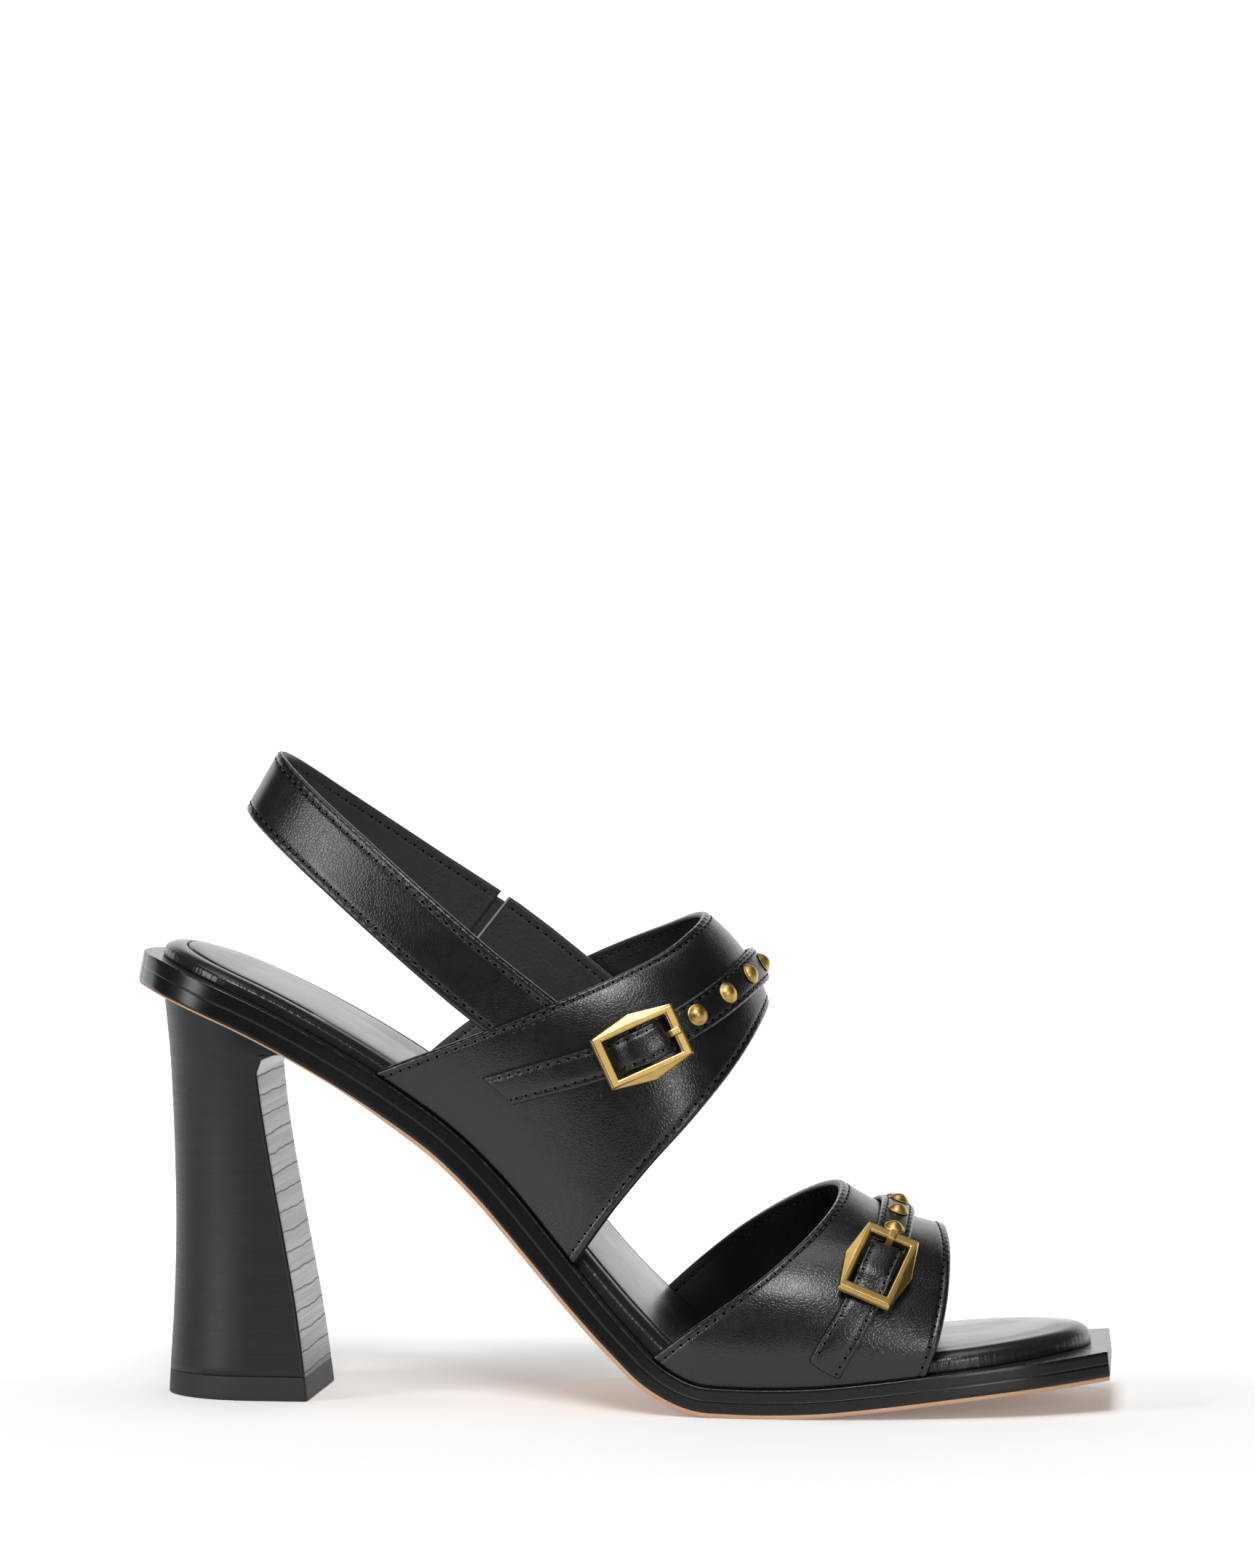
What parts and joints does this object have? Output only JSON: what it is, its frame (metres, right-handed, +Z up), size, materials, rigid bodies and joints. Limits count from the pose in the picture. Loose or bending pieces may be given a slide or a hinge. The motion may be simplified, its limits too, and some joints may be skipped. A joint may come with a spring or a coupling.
{
  "type": "block heel sandal",
  "caption": "Women's open-toe sandal on a high block heel: instep and vamp bands with studded buckled straps, slingback, squared toe.",
  "frame": {"origin": "on the floor, in the middle of the shoe's outline", "axes": "+X towards the toe, +Y towards the inner side of the foot (a right shoe), +Z up"},
  "size_m": [0.2254, 0.0824, 0.1484],
  "materials": {
    "heel": "black stacked-look cover, satin",
    "toplift": "black, matte",
    "outsole": "tan, satin",
    "midsole": "black edge, satin",
    "insole": "black wrapped footbed",
    "upper_instep": "smooth semi-gloss",
    "vamp_band": "smooth semi-gloss",
    "instep_tail": "smooth semi-gloss",
    "instep_strap": "smooth semi-gloss",
    "instep_buckle": "antique gold",
    "instep_prong": "antique gold",
    "vamp_tail": "smooth semi-gloss",
    "vamp_strap": "smooth semi-gloss",
    "vamp_buckle": "antique gold",
    "vamp_prong": "antique gold",
    "instep_stud_1": "antique gold",
    "instep_stud_2": "antique gold",
    "instep_stud_3": "antique gold",
    "instep_stud_4": "antique gold",
    "instep_stud_5": "antique gold",
    "instep_stud_6": "antique gold",
    "instep_stud_7": "antique gold",
    "vamp_stud_1": "antique gold",
    "vamp_stud_2": "antique gold",
    "vamp_stud_3": "antique gold",
    "vamp_stud_4": "antique gold",
    "vamp_stud_5": "antique gold",
    "vamp_stud_6": "antique gold"
  },
  "bodies": {
    "root": {"heel": "heel", "toplift": "toplift", "outsole": "outsole", "midsole": "midsole", "insole": "insole", "upper_instep": "upper_instep", "vamp_band": "vamp_band", "instep_tail": "instep_tail", "instep_strap": "instep_strap", "instep_buckle": "instep_buckle", "instep_prong": "instep_prong", "vamp_tail": "vamp_tail", "vamp_strap": "vamp_strap", "vamp_buckle": "vamp_buckle", "vamp_prong": "vamp_prong", "instep_stud_1": "instep_stud_1", "instep_stud_2": "instep_stud_2", "instep_stud_3": "instep_stud_3", "instep_stud_4": "instep_stud_4", "instep_stud_5": "instep_stud_5", "instep_stud_6": "instep_stud_6", "instep_stud_7": "instep_stud_7", "vamp_stud_1": "vamp_stud_1", "vamp_stud_2": "vamp_stud_2", "vamp_stud_3": "vamp_stud_3", "vamp_stud_4": "vamp_stud_4", "vamp_stud_5": "vamp_stud_5", "vamp_stud_6": "vamp_stud_6"}
  },
  "joints": []
}
